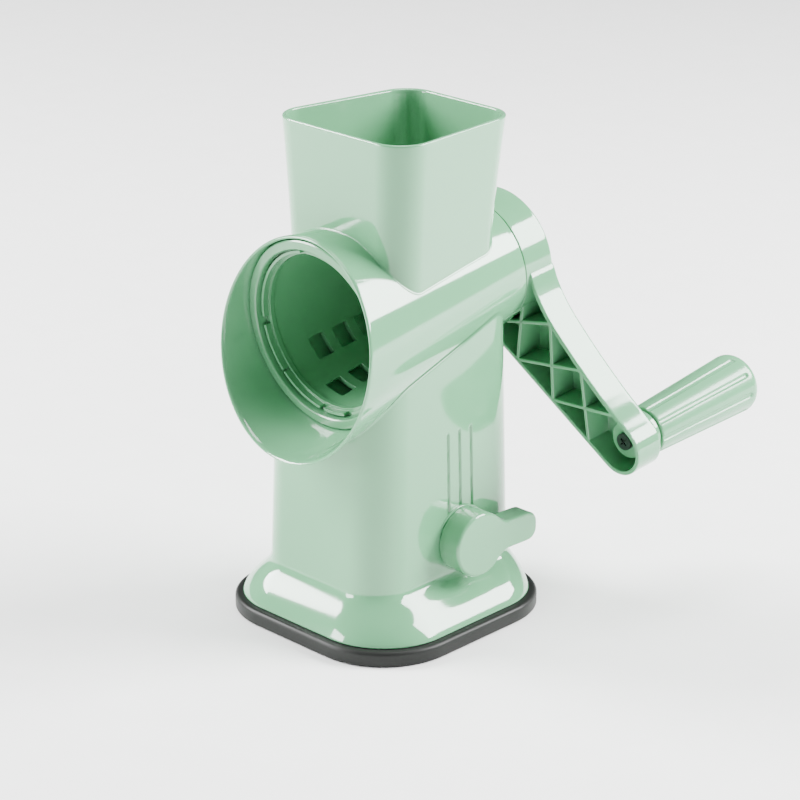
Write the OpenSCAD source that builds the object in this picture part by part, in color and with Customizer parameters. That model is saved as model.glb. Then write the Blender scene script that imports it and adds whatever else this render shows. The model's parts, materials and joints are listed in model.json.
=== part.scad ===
// Hand-cranked rotary cheese grater on a lever-locked suction base.
// Origin: centre of the foot on the table. +Z up, the mouth faces -Y, the crank is at +Y,
// and the suction lever is on the +X side. All sizes in millimetres.

/* [Overall] */
// Height from the table to the hopper's rim
total_height = 228; // [200:1:260]
// Length of the rubber foot, front to back
foot_length = 121; // [105:0.5:140]
// Width of the rubber foot at the front
foot_front_width = 122; // [104:0.5:142]
// Width of the rubber foot at the back
foot_back_width = 109; // [94:0.5:130]
// Corner radius of the foot
foot_corner = 36; // [25:0.5:42]
// Height of the foot's visible edge
foot_height = 7; // [5:0.5:10]
// How far the foot stands out past the skirt
foot_ledge = 3.4; // [2:0.1:5]

/* [Housing] */
// Wall of the moulded housing
wall = 2.4; // [1.8:0.1:3.2]
// Column width at the front, at its foot
column_front_width = 81; // [72:0.5:90]
// Column width at the back, at its foot
column_back_width = 71; // [62:0.5:80]
// How much narrower the column's front is at its top
column_front_taper = 3; // [1:0.5:8]
// How much narrower the column's back is at its top
column_back_taper = 10; // [4:0.5:14]
// How far the column's front face leans back towards its top
column_lean = 4; // [0:0.5:8]
// Front face of the column, ahead of the centre
column_front = 45.5; // [40:0.5:50]
// Back face of the column, behind the centre
column_back = 50; // [44:0.5:53]
// Corner radius of the column
column_corner = 18; // [10:0.5:24]
// Height where the skirt starts to flare
skirt_height = 26; // [20:0.5:32]
// Length of the decorative grooves above the lever
groove_length = 58; // [30:1:64]
// Spacing of the decorative grooves
groove_pitch = 7.6; // [5:0.1:9]

/* [Hopper] */
// Hopper rim width at the front
hopper_front_width = 86.2; // [74:0.2:96]
// Hopper rim width at the back
hopper_back_width = 67; // [56:0.2:76]
// Front edge of the hopper's rim, ahead of the centre
hopper_front = 32.4; // [26:0.2:38]
// Back edge of the hopper's rim, behind the centre
hopper_back = 46; // [38:0.2:50]
// Corner radius of the hopper
hopper_corner = 15; // [9:0.5:19]
// How far the hopper's front corners draw in towards the barrel
hopper_front_draw = 4.2; // [1:0.1:6]
// How far the hopper's back corners draw in towards the barrel
hopper_back_draw = 7.6; // [3:0.1:9]

/* [Barrel] */
// Height of the barrel's axis at the crank seam
seam_height = 151; // [135:0.5:170]
// Distance of the crank seam behind the centre
seam_back = 56; // [52:0.5:62]
// Fall of the barrel towards its mouth, degrees
barrel_tilt = 7; // [0:0.5:10]
// Barrel radius at the crank seam
seam_radius = 30.4; // [27:0.2:34]
// Growth of the barrel's radius per millimetre towards the mouth
barrel_flare = 0.1525; // [0.12:0.0005:0.18]
// Distance along the axis from the seam to the mouth's centre
mouth_reach = 112.4; // [100:0.5:125]
// Slant of the mouth's cut, degrees
mouth_slant = 16.5; // [0:0.5:22]

/* [Drum] */
// Length of the drum along its axis
drum_length = 88.5; // [74:0.5:92]
// Thickness of the drum's sheet
drum_sheet = 1; // [0.8:0.1:1.6]
// Rows of grating slots around the drum
slot_rows = 6; // [3:1:7]
// Slots in each row
slots_per_row = 5; // [3:1:6]
// Width of a slot along the drum
slot_width = 8.6; // [5:0.2:9.6]
// Angle covered by a slot
slot_angle = 20; // [12:1:26]
// Height of the raised lip beside a slot
tooth_height = 1.3; // [0.6:0.1:1.8]

/* [Crank] */
// Distance from the crank's axis to the grip's axis
crank_throw = 106.6; // [88:0.5:122]
// Direction of the arm at rest, degrees below level
arm_angle = 43.9; // [0:0.1:90]
// Depth of the crank's hub
hub_depth = 18; // [15:0.5:22]
// Width of the arm at the grip end
arm_end_width = 25; // [22:0.5:30]
// Wall of the crank's shell
arm_wall = 2; // [1.6:0.1:2.8]
// Length of the grip
grip_length = 65; // [50:0.5:74]
// Grip radius beside the arm
grip_small_radius = 11.4; // [10.2:0.1:12.6]
// Grip radius at its outer end
grip_large_radius = 14; // [13:0.1:17]
// Shallow grooves around the grip
grip_grooves = 9; // [6:1:12]

/* [Drive] */
// Radius of the drive spindle's round part
spindle_radius = 6; // [5:0.1:7]
// Radial running clearance of shafts in their bores
running_gap = 0.06; // [0.02:0.01:0.1]

/* [Lever and suction] */
// Height of the lever's axis
lever_height = 41; // [38:0.5:46]
// Distance of the lever's axis behind the centre
lever_back = 9.2; // [4:0.2:14]
// Radius of the lever's hub
lever_hub_radius = 14.8; // [12:0.2:17]
// Reach of the lever's paddle from its axis
lever_reach = 35.6; // [30:0.2:42]
// Height of the lever's paddle
paddle_height = 13.6; // [10:0.2:16]
// Outer face of the lever from the centre
lever_outer = 50.4; // [48:0.2:55]
// Eccentric throw of the lever's pin
cam_throw = 4; // [2.5:0.1:4.4]
// Radius of the suction cup
cup_radius = 46; // [38:0.5:48]

/* [Fasteners] */
// Radius of the base screws' thread
screw_radius = 1.5; // [1.2:0.1:2]
// Radius of the base screws' head
screw_head_radius = 3; // [2.4:0.1:3.6]

/* [Hidden] */
fine = 96;
soft = 32;
arc_steps = 8;
cover = 0.2;
part_gap = 0.35;
press_fit = 0.02;
far = 400;
foot_body_gap = 0.15;

green = [0.63, 0.8, 0.68];
deep_green = [0.56, 0.75, 0.62];
black = [0.07, 0.075, 0.07];
steel = [0.72, 0.73, 0.74];
pale = [0.86, 0.88, 0.85];

hopper_bottom = seam_height - 8;
column_top = seam_height - 2;

// Barrel stations are measured from the seam towards the mouth.
barrel_length = mouth_reach + (seam_radius + mouth_reach * barrel_flare) * tan(mouth_slant) + 8;
end_wall_start = 1.6;
end_wall = 3;
end_wall_stop = end_wall_start + end_wall;
mouth_wall = 1.2;
cavity_start = seam_radius - wall + end_wall_stop * barrel_flare;
cavity_end = seam_radius + (barrel_length + 1) * barrel_flare - mouth_wall;

// The drum's stations: back plate, sheet, front ring.
drum_back = 11;
drum_front = drum_back + drum_length;
ring_depth = 8;
ring_gap = 0.45;
ring_outer = cavity_radius(drum_front - 1) - ring_gap;
ring_face = 4.4;
ring_lip = 1.3;
ring_lip_set = 0.2;
ring_seat = 1.9;
ring_floor = 2.4;
drum_front_radius = ring_outer - ring_face - ring_seat;
drum_flare = 0.135;
drum_back_radius = drum_front_radius - (drum_length - ring_depth) * drum_flare;
plate_depth = 4;
// Start angle and sweep of each lip inside the front ring.
lip_spans = [
    [-172, 33.5], [-137, 38], [-95, 20], [-66, 36], [-24, 36], [18, 36], [60, 36], [102, 80]
];
slot_pitch = (drum_length - ring_depth - plate_depth - 6) / (slots_per_row + 0.5);
row_pitch = 38;
first_row = -142;
lip_thickness = 1.2;
socket_half = spindle_radius * 0.82;

bush_outer = spindle_radius + 3;
bush_flange = bush_outer + 2.5;
seam_gap = 0.6;
hub_radius = seam_radius - 0.5;
hub_floor = 2.6;
hub_boss_radius = spindle_radius + 4.5;
arm_front = seam_gap + 2.2;
arm_rise = 0.4;
arm_depth = hub_depth + arm_rise;
arm_back_wall = 2.2;
end_radius = arm_end_width / 2;
grip_lift = 1.4;
heel_radius = hub_radius - 1.6;
rib = 1.6;

axle_radius = 4;
axle_boss_radius = 8.6;
collar_depth = 2.2;
grip_start = arm_depth + collar_depth + 0.4;
grip_bore_shoulder = 40;
barb_radius = axle_radius + 0.8;

lever_wall_x = column_half(lever_back, lever_height);
lever_gap = 1.3;
seat_rise = 0.9;
shaft_boss = 5;
shaft_radius = 7;
pin_radius = 2.5;
pin_reach = 7;
yoke_half = 5;
slot_clear = 0.5;
cam_start = 45;
stem_radius = 5;
stem_flange_radius = 10;
cup_crown = 7.4;
cup_sheet = 1.6;
cup_rim = 1;
plate_bottom = foot_height + 2;
plate_thickness = 3;
plate_top = plate_bottom + plate_thickness;
tower_top = 25;
tower_radius = 14.5;
tower_bore = 11.6;
guide_top = 30.5;
spring_bottom = cup_crown + 2.3;
spring_top = tower_top - plate_thickness - 0.1;
spring_wire = 0.7;
spring_radius = 8.6;
spring_turns = 4;

groove_radius = 1;
groove_cut = 6;
groove_hidden = 8.5;
groove_top_depth = 3.4;
groove_low_depth = 0.9;

post_radius = 4.4;
post_front_y = -column_front + column_corner + 2;
post_back_y = column_back - column_corner - 6;
post_top = skirt_height + 20;
screw_length = 12;
screw_head = 2.4;

// ---- shared shapes ----

// Share of the column's taper reached at a height.
function taper_share(z) = max(0, z - skirt_height) / (column_top - skirt_height);

// Half width of the column at a distance behind the centre and a height.
function column_half(y, z) =
    let (
        rise = taper_share(z),
        front_half = (column_front_width - column_front_taper * rise) / 2,
        back_half = (column_back_width - column_back_taper * rise) / 2
    )
    blend(front_half, back_half, (y + column_front) / (column_front + column_back));

function blend(a, b, t) = a + (b - a) * t;

// Rounded outline that is wider at the front: half widths where its straight sides would
// reach the front and back lines, then the front, the back and the corner radius.
function keystone(front_half, back_half, front, back, corner) =
    let (
        side = atan((front_half - back_half) / (front + back)),
        front_x = front_half - corner * tan(side) - corner / cos(side),
        back_x = back_half + corner * tan(side) - corner / cos(side)
    )
    concat(
        [for (i = [0:arc_steps]) let (a = -90 + (90 + side) * i / arc_steps)
            [front_x + corner * cos(a), -front + corner + corner * sin(a)]],
        [for (i = [0:arc_steps]) let (a = side + (90 - side) * i / arc_steps)
            [back_x + corner * cos(a), back - corner + corner * sin(a)]],
        [for (i = [0:arc_steps]) let (a = 90 + (90 - side) * i / arc_steps)
            [-back_x + corner * cos(a), back - corner + corner * sin(a)]],
        [for (i = [0:arc_steps]) let (a = 180 - side + (90 + side) * i / arc_steps)
            [-front_x + corner * cos(a), -front + corner + corner * sin(a)]]
    );

// Solid through a stack of outlines, each one a list of plan points and a height.
module stack(outlines, heights) {
    count = len(outlines[0]);
    last = len(heights) - 1;
    points = [for (k = [0:last]) for (p = outlines[k]) [p[0], p[1], heights[k]]];
    sides = [for (k = [0:last - 1]) for (i = [0:count - 1]) for (half = [0, 1])
        let (j = (i + 1) % count, low = k * count, high = low + count)
        half == 0 ? [low + i, high + i, high + j] : [low + i, high + j, low + j]];
    bottom = [for (i = [0:count - 1]) i];
    top = [for (i = [0:count - 1]) last * count + count - 1 - i];
    polyhedron(points = points, faces = concat([bottom], sides, [top]), convexity = 4);
}

// Frame of the barrel: +Z runs from the seam to the mouth, +Y is up across the axis.
module on_axis() {
    translate([0, seam_back, seam_height])
        rotate([90 + barrel_tilt, 0, 0])
            children();
}

// Frame of the lever: +Z runs outwards along +X through the lever's axis.
module on_lever() {
    translate([0, lever_back, lever_height])
        rotate([90, 0, 90])
            children();
}

// Frame of the crank arm: +X runs from the hub to the grip, +Y to its heel side, +Z away from the mouth.
module on_arm() {
    on_axis()
        rotate([0, 180, 0])
            rotate([0, 0, 180 + arm_angle])
                children();
}

// Frame of the grip: its axis is +Z, starting at the seam's plane.
module on_grip() {
    on_arm()
        translate([crank_throw - grip_lift, -grip_lift, 0])
            children();
}

module tube(outer, inner, height) {
    difference() {
        cylinder(r = outer, h = height, $fn = fine);
        translate([0, 0, -cover])
            cylinder(r = inner, h = height + 2 * cover, $fn = fine);
    }
}

// ---- housing ----

function hopper_outline(draw, inset) =
    keystone(hopper_front_width / 2 - draw * hopper_front_draw - inset,
        hopper_back_width / 2 - draw * hopper_back_draw - inset,
        hopper_front - draw * hopper_front_draw * 0.6 - inset,
        hopper_back - draw * hopper_back_draw * 0.55 - inset,
        hopper_corner - draw * 2 - inset);

function hopper_share(t) = 1 - pow(t, 1.5);
hopper_levels = [0, 0.3, 0.45, 0.6, 0.75, 0.88, 1];
hopper_rim_top = total_height;

module hopper_block(inset, low, high) {
    heights = [for (t = hopper_levels) low + (high - low) * t];
    outlines = [for (z = heights)
        let (t = max(0, (z - hopper_bottom) / (hopper_rim_top - hopper_bottom)))
        hopper_outline(hopper_share(min(t, 1)), inset)];
    stack(outlines, heights);
}

// Radius of the barrel's bore at a station.
function cavity_radius(a) =
    blend(cavity_start, cavity_end, (a - end_wall_stop) / (barrel_length + 1 - end_wall_stop));

module barrel_block() {
    on_axis()
        cylinder(r1 = seam_radius, r2 = seam_radius + barrel_length * barrel_flare,
            h = barrel_length, $fn = fine);
}

module barrel_cavity() {
    on_axis()
        translate([0, 0, end_wall_stop])
            cylinder(r1 = cavity_start, r2 = cavity_end,
                h = barrel_length + 1 - end_wall_stop, $fn = fine);
}

module mouth_cut() {
    on_axis()
        translate([0, 0, mouth_reach])
            rotate([-mouth_slant, 0, 0])
                translate([-far / 2, -far / 2, 0])
                    cube([far, far, far / 2]);
}

module feed_hopper() {
    color(green)
        difference() {
            hopper_block(0, hopper_bottom, hopper_rim_top);
            hopper_block(wall - 0.3, hopper_bottom - 1, hopper_rim_top + 1);
            barrel_block();
        }
}

module drum_barrel() {
    color(green)
        difference() {
            barrel_block();
            barrel_cavity();
            mouth_cut();
            hopper_block(wall - 0.3, seam_height - 1, hopper_rim_top);
            on_axis()
                translate([0, 0, -1])
                    cylinder(r = seam_radius - wall, h = 1 + end_wall_start, $fn = fine);
            on_axis()
                cylinder(r = bush_outer, h = end_wall_stop + 1, $fn = fine);
        }
}

skirt_levels = [0, 0.16, 0.34, 0.5, 0.66, 0.8, 0.92, 1];
skirt_flare = [1, 0.9, 0.74, 0.56, 0.35, 0.17, 0.05, 0];

function column_outline(z, inset) =
    let (rise = taper_share(z))
    keystone((column_front_width - column_front_taper * rise) / 2 - inset,
        (column_back_width - column_back_taper * rise) / 2 - inset,
        column_front - column_lean * rise - inset, column_back - inset, column_corner - inset);

function skirt_outline(z, t, inset) =
    keystone(
        blend(column_front_width / 2, foot_front_width / 2 - foot_ledge, t) - inset,
        blend(column_back_width / 2, foot_back_width / 2 - foot_ledge, t) - inset,
        blend(column_front, foot_length / 2 - foot_ledge, t) - inset,
        blend(column_back, foot_length / 2 - foot_ledge, t) - inset,
        blend(column_corner, foot_corner - foot_ledge, t) - inset);

module pedestal_block(inset, low, high) {
    skirt_z = [for (t = skirt_levels) foot_height + (skirt_height - foot_height) * t];
    heights = concat([low - cover], [for (z = skirt_z) z], [blend(skirt_height, high, 0.5), high]);
    outlines = concat(
        [skirt_outline(foot_height, 1, inset)],
        [for (i = [0:len(skirt_z) - 1]) skirt_outline(skirt_z[i], skirt_flare[i], inset)],
        [column_outline(blend(skirt_height, high, 0.5), inset), column_outline(high, inset)]);
    stack(outlines, heights);
}

module groove(offset_y) {
    on_lever()
        translate([offset_y, 0, 0])
            hull() {
                translate([0, groove_length - groove_hidden, lever_wall_x - groove_top_depth])
                    cylinder(r = groove_radius, h = groove_cut, $fn = soft);
                translate([0, lever_hub_radius - 3, lever_wall_x - groove_low_depth])
                    cylinder(r = groove_radius, h = groove_cut, $fn = soft);
            }
}

function post_x(y) = column_half(y, post_top) - wall - post_radius * 0.6;

module each_post() {
    for (side = [-1, 1])
        for (y = [post_front_y, post_back_y])
            translate([side * post_x(y), y, 0])
                children();
}

module pedestal() {
    color(green)
        difference() {
            union() {
                difference() {
                    pedestal_block(0, foot_height + cover, column_top);
                    pedestal_block(wall, foot_height - 1, column_top + 1);
                }
                each_post()
                    translate([0, 0, plate_top])
                        cylinder(r = post_radius, h = post_top - plate_top, $fn = fine);
                on_lever()
                    translate([0, 0, lever_wall_x - wall - shaft_boss])
                        cylinder(r = shaft_radius + 3, h = wall + shaft_boss - 0.4, $fn = fine);
                on_lever()
                    translate([0, 0, lever_wall_x - 1.6])
                        cylinder(r = lever_hub_radius + 0.5, h = 1.6 + seat_rise, $fn = fine);
            }
            barrel_block();
            each_post()
                translate([0, 0, plate_top - cover])
                    cylinder(r = screw_radius, h = screw_length, $fn = fine);
            on_lever()
                cylinder(r = shaft_radius + running_gap, h = far, $fn = fine);
            for (i = [-1:1])
                groove(i * groove_pitch);
        }
}

// ---- base and suction ----

module base_plate() {
    color(deep_green)
        difference() {
            union() {
                linear_extrude_plate(plate_bottom, plate_thickness, wall + part_gap + 0.4);
                translate([0, 0, plate_bottom])
                    cylinder(r = tower_radius, h = tower_top - plate_bottom, $fn = fine);
                cylinder(r = stem_radius + 3, h = guide_top, $fn = fine);
            }
            translate([0, 0, -cover])
                cylinder(r = tower_bore, h = tower_top - plate_thickness + cover, $fn = fine);
            cylinder(r = stem_radius + running_gap, h = far, $fn = fine);
            each_post()
                translate([0, 0, -cover])
                    cylinder(r = screw_radius + 0.3, h = far, $fn = fine);
            each_post()
                translate([0, 0, -cover])
                    cylinder(r = screw_head_radius + 0.3, h = plate_bottom + 1 + cover, $fn = fine);
        }
}

module linear_extrude_plate(low, thick, inset) {
    translate([0, 0, low])
        linear_extrude(thick)
            polygon(skirt_outline(low, 0.8, inset));
}

module base_screws() {
    color(steel)
        each_post()
            translate([0, 0, plate_bottom + 1 - screw_head]) {
                cylinder(r = screw_head_radius, h = screw_head, $fn = fine);
                cylinder(r = screw_radius - press_fit, h = screw_head + screw_length - 3, $fn = fine);
            }
}

module foot_pad() {
    edge = 1.6;
    color(black)
        difference() {
            union() {
                stack(
                    [for (s = [edge * 0.5, 0, 0, edge * 0.35, edge])
                        keystone(foot_front_width / 2 - s, foot_back_width / 2 - s,
                            foot_length / 2 - s, foot_length / 2 - s, foot_corner - s)],
                    [0, edge * 0.5, foot_height - edge, foot_height - edge * 0.35, foot_height]);
                translate([0, 0, foot_height - cover])
                    linear_extrude(plate_bottom - foot_height - foot_body_gap + cover)
                        polygon(skirt_outline(foot_height, 0.9, wall + 2));
            }
            translate([0, 0, -cover])
                cylinder(r = cup_radius, h = far, $fn = fine);
        }
}

module suction_cup() {
    edge = cup_radius - part_gap;
    color(black)
        rotate_extrude($fn = fine)
            polygon([
                [0, cup_crown - cup_sheet - 0.4], [stem_flange_radius, cup_crown - cup_sheet - 0.4],
                [edge * 0.62, cup_rim + 2.4], [edge, cup_rim], [edge, cup_rim + cup_sheet],
                [edge * 0.62, cup_rim + 2.4 + cup_sheet], [stem_flange_radius, cup_crown], [0, cup_crown]
            ]);
}

module return_spring() {
    steps = 18;
    sides = 8;
    span = spring_top - spring_bottom - 2 * spring_wire;
    total = spring_turns * steps;
    points = [for (k = [0:total]) for (s = [0:sides - 1])
        let (
            turn = 360 * k / steps,
            ring = 360 * s / sides,
            r = spring_radius + spring_wire * cos(ring),
            z = spring_bottom + spring_wire + span * k / total + spring_wire * sin(ring)
        )
        [r * cos(turn), r * sin(turn), z]];
    skin = [for (k = [0:total - 1]) for (s = [0:sides - 1]) for (half = [0, 1])
        let (t = (s + 1) % sides, near = k * sides, next = near + sides)
        half == 0 ? [near + s, near + t, next + t] : [near + s, next + t, next + s]];
    start = [for (s = [0:sides - 1]) sides - 1 - s];
    finish = [for (s = [0:sides - 1]) total * sides + s];
    color(steel)
        polyhedron(points = points, faces = concat([start], skin, [finish]), convexity = 8);
}

module pull_stem() {
    pin_y = lever_back + cam_throw * cos(cam_start);
    pin_z = lever_height - cam_throw * sin(cam_start);
    slot_low = lever_back + cam_throw * cos(cam_start) - pin_radius - 0.8;
    slot_high = lever_back + cam_throw + pin_radius + 0.8;
    head_low = pin_z - pin_radius - slot_clear - 4;
    head_high = pin_z + pin_radius + slot_clear + 3.5;
    color(pale)
        difference() {
            union() {
                translate([0, 0, cup_crown + 0.1])
                    cylinder(r = stem_flange_radius, h = 2, $fn = fine);
                translate([0, 0, cup_crown + 0.1])
                    cylinder(r = stem_radius, h = head_low + 2 - cup_crown, $fn = fine);
                translate([-yoke_half, -stem_radius, head_low])
                    cube([2 * yoke_half, slot_high + 3.5 + stem_radius, head_high - head_low]);
            }
            translate([-yoke_half - 1, slot_low, pin_z - pin_radius - slot_clear])
                cube([2 * yoke_half + 2, slot_high - slot_low, 2 * (pin_radius + slot_clear)]);
        }
}

// ---- lever ----

module lever_knob() {
    start = lever_wall_x + lever_gap;
    depth = lever_outer - start;
    paddle_in = 9.6;
    color(green)
        difference() {
            union() {
                on_lever()
                    translate([0, 0, start])
                        cylinder(r1 = lever_hub_radius, r2 = lever_hub_radius - 0.9,
                            h = depth - 1, $fn = fine);
                on_lever()
                    translate([0, 0, lever_outer - 1])
                        cylinder(r1 = lever_hub_radius - 0.9, r2 = lever_hub_radius - 1.9, h = 1, $fn = fine);
                on_lever()
                    translate([0, -paddle_height / 2, lever_outer - paddle_in])
                        cube([lever_reach - 4, paddle_height, paddle_in]);
                on_lever()
                    translate([lever_reach - 4, 0, lever_outer - paddle_in])
                        intersection() {
                            translate([-8, 0, 0])
                                cylinder(r = 12, h = paddle_in, $fn = fine);
                            translate([-1, -paddle_height / 2, 0])
                                cube([8, paddle_height, paddle_in]);
                        }
            }
            on_lever()
                translate([0, 0, start - cover])
                    cylinder(r = shaft_radius + press_fit, h = depth - 3, $fn = fine);
        }
}

module lever_shaft() {
    clip_z = lever_wall_x - wall - shaft_boss - part_gap - 1.4;
    color(pale)
        on_lever() {
            difference() {
                translate([0, 0, pin_reach])
                    cylinder(r = shaft_radius, h = lever_outer - 3.4 - pin_reach, $fn = fine);
                translate([0, 0, clip_z])
                    tube(shaft_radius + 1, shaft_radius - 1.2, 1.4);
            }
            rotate([0, 0, -cam_start])
                translate([cam_throw, 0, -pin_reach])
                    cylinder(r = pin_radius, h = 2 * pin_reach + cover, $fn = fine);
        }
}

module shaft_clip() {
    clip_z = lever_wall_x - wall - shaft_boss - part_gap - 1.3;
    color(steel)
        on_lever()
            translate([0, 0, clip_z])
                difference() {
                    tube(shaft_radius + 2.2, shaft_radius - 1.1, 1.2);
                    translate([0, -3.6, -1])
                        cube([shaft_radius + 4, 7.2, 4]);
                }
}

// ---- crank ----

module spindle_bush() {
    color(pale)
        on_axis()
            translate([0, 0, end_wall_start - 1.2])
                difference() {
                    union() {
                        translate([0, 0, 1.25])
                            cylinder(r = bush_outer - press_fit, h = end_wall + 1.4, $fn = fine);
                        cylinder(r = bush_flange, h = 1.15, $fn = fine);
                        translate([0, 0, 1])
                            cylinder(r = bush_outer - press_fit, h = 1, $fn = fine);
                    }
                    translate([0, 0, -1])
                        cylinder(r = spindle_radius + running_gap, h = far, $fn = fine);
                }
}

module thrust_washer() {
    color(steel)
        on_axis()
            translate([0, 0, end_wall_start - 2.6])
                tube(bush_flange - 0.6, spindle_radius + 0.05, 1);
}

module drive_spindle() {
    clip_z = end_wall_stop + 2.6;
    square_start = clip_z + 2.2;
    square_end = drum_back + plate_depth + 9;
    color(steel)
        on_axis()
            difference() {
                union() {
                    translate([0, 0, -hub_depth + hub_floor + 4])
                        cylinder(r = spindle_radius,
                            h = square_start + hub_depth - hub_floor - 4, $fn = fine);
                    translate([-socket_half, -socket_half, square_start - 0.5])
                        cube([2 * socket_half, 2 * socket_half, square_end - square_start + 0.5]);
                }
                translate([0, 0, clip_z])
                    tube(spindle_radius + 1, spindle_radius - 1.1, 1.2);
                translate([0, 0, -hub_depth])
                    cylinder(r = 2, h = 16, $fn = fine);
            }
}

module spindle_clip() {
    clip_z = end_wall_stop + 2.7;
    color(steel)
        on_axis()
            translate([0, 0, clip_z])
                difference() {
                    tube(spindle_radius + 2.2, spindle_radius - 1, 1);
                    translate([0, -3.2, -1])
                        cube([spindle_radius + 4, 6.4, 4]);
                }
}

// Plan outline of the arm between hub and grip, in the grip's frame; +Y is the heel side.
module arm_plan(inset) {
    heel_tilt = asin((heel_radius - end_radius) / crank_throw);
    heel = heel_radius - inset;
    end = end_radius - inset;
    shoulder = 53;
    shoulder_radius = (hub_radius - inset) * 0.98;
    circle(r = end, $fn = fine);
    translate([-crank_throw, 0])
        polygon([
            [0, 0],
            [shoulder_radius * cos(shoulder), -shoulder_radius * sin(shoulder)],
            [crank_throw * 0.26, -end - 5.2],
            [crank_throw * 0.31, -end - 2.9],
            [crank_throw * 0.37, -end - 1.1],
            [crank_throw * 0.44, -end],
            [crank_throw * 0.62, 1.3 - end],
            [crank_throw * 0.8, 1.5 - end],
            [crank_throw * 0.93, 0.4 - end],
            [crank_throw + end * 0.32, 0.09 * end - end],
            [crank_throw + end * 0.4, 0.9 * end],
            [heel * sin(heel_tilt), heel * cos(heel_tilt)]
        ]);
}

module hub_and_arm(inset, hub_low, arm_low, high) {
    on_arm() {
        translate([0, 0, hub_low])
            cylinder(r = hub_radius - inset, h = high - arm_rise - hub_low, $fn = fine);
        translate([crank_throw, 0, arm_low])
            linear_extrude(high - arm_low)
                arm_plan(inset);
    }
}

// A straight rib between two plan points of the arm.
module rib_between(from, to) {
    span = to - from;
    translate([from[0], from[1], 0])
        rotate([0, 0, atan2(span[1], span[0])])
            translate([0, -rib / 2, 0])
                cube([norm(span), rib, arm_depth]);
}

// Crossed ribs between evenly spaced stations on the arm's two walls.
module lattice() {
    first = crank_throw * 0.18;
    pitch = (crank_throw * 0.885 - first) / 3;
    for (k = [0:2]) {
        near = first + k * pitch;
        next = near + pitch;
        heel_near = heel_radius - near * (heel_radius - end_radius) / crank_throw;
        heel_next = heel_radius - next * (heel_radius - end_radius) / crank_throw;
        rib_between([near, heel_near], [next, -end_radius]);
        rib_between([near, -end_radius - max(0, 10 - k * 8)], [next, heel_next]);
    }
}

module crank_arm() {
    color(green)
        difference() {
            union() {
                difference() {
                    hub_and_arm(0, seam_gap, arm_front, arm_depth);
                    difference() {
                        hub_and_arm(arm_wall, -1, -1, arm_depth - arm_back_wall);
                        on_arm()
                            difference() {
                                intersection() {
                                    translate([crank_throw, 0, arm_front])
                                        linear_extrude(arm_depth)
                                            arm_plan(0.5);
                                    lattice();
                                }
                                translate([0, 0, -1])
                                    cylinder(r = hub_radius - 3, h = far, $fn = fine);
                                translate([crank_throw, 0, -1])
                                    cylinder(r = end_radius - 0.6, h = far, $fn = fine);
                            }
                    }
                }
                on_arm() {
                    translate([0, 0, 3.4])
                        cylinder(r = hub_boss_radius, h = hub_depth - 3.6, $fn = fine);
                    for (k = [0:5])
                        rotate([0, 0, 60 * k + 15])
                            translate([hub_boss_radius - 1, -rib / 2, 5])
                                cube([hub_radius - arm_wall - hub_boss_radius + 2, rib, hub_depth - 6]);
                }
                on_grip()
                    translate([0, 0, 9])
                        cylinder(r = axle_boss_radius, h = arm_depth - 9.4, $fn = fine);
                on_grip()
                    translate([0, 0, arm_depth - 0.5])
                        cylinder(r = end_radius - 2 * grip_lift + 0.6, h = collar_depth + 0.5, $fn = fine);
            }
            on_arm()
                cylinder(r = spindle_radius + press_fit, h = hub_depth - hub_floor - 4, $fn = fine);
            on_arm()
                cylinder(r = 2.2, h = far, $fn = fine);
            on_arm()
                translate([0, 0, hub_depth - 2.4])
                    cylinder(r = 4.6, h = far, $fn = fine);
            on_grip()
                translate([0, 0, 12])
                    cylinder(r = axle_radius + press_fit, h = far, $fn = fine);
            on_grip()
                cylinder(r = 1.8, h = far, $fn = fine);
        }
}

module crank_screw() {
    color(steel)
        on_arm()
            difference() {
                union() {
                    translate([0, 0, hub_depth - 2.3])
                        cylinder(r = 4.3, h = 2, $fn = fine);
                    translate([0, 0, hub_depth - 2.3 - 11])
                        cylinder(r = 1.95, h = 11.5, $fn = fine);
                }
                for (turn = [0, 90])
                    rotate([0, 0, turn])
                        translate([-2.2, -0.45, hub_depth - 1.3])
                            cube([4.4, 0.9, 4]);
            }
}

module grip_axle() {
    top = grip_start + grip_bore_shoulder;
    color(steel)
        on_grip()
            difference() {
                union() {
                    translate([0, 0, 12.1])
                        cylinder(r = axle_radius, h = top + 3 - 12.1, $fn = fine);
                    translate([0, 0, top + 0.6])
                        cylinder(r1 = barb_radius, r2 = barb_radius - 1.4, h = 4.4, $fn = fine);
                }
                translate([0, 0, 11])
                    cylinder(r = 1.7, h = 14, $fn = fine);
            }
}

module axle_screw() {
    color(steel)
        on_grip()
            difference() {
                union() {
                    translate([0, 0, 6.9])
                        cylinder(r = 4, h = 2, $fn = fine);
                    translate([0, 0, 8])
                        cylinder(r = 1.65, h = 14, $fn = fine);
                }
                for (turn = [0, 90])
                    rotate([0, 0, turn])
                        translate([-2, -0.4, 6])
                            cube([4, 0.8, 1.9]);
            }
}

module grip_sleeve() {
    round_end = 5;
    finish = grip_start + grip_length;
    color(green)
        on_grip()
            difference() {
                rotate_extrude($fn = fine)
                    polygon(concat(
                        [[0, grip_start], [grip_small_radius - 0.8, grip_start],
                            [grip_small_radius, grip_start + 0.8]],
                        [for (a = [0:10:90])
                            [grip_large_radius - round_end + round_end * cos(a),
                                finish - round_end + round_end * sin(a)]],
                        [[0, finish + 0.4]]
                    ));
                translate([0, 0, grip_start - 1])
                    cylinder(r = axle_radius + running_gap, h = grip_bore_shoulder + 1, $fn = fine);
                translate([0, 0, grip_start + grip_bore_shoulder])
                    cylinder(r = barb_radius + 0.6, h = 6.4, $fn = fine);
                for (k = [0:grip_grooves - 1])
                    rotate([0, 0, 360 * k / grip_grooves])
                        grip_groove();
            }
}

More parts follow.
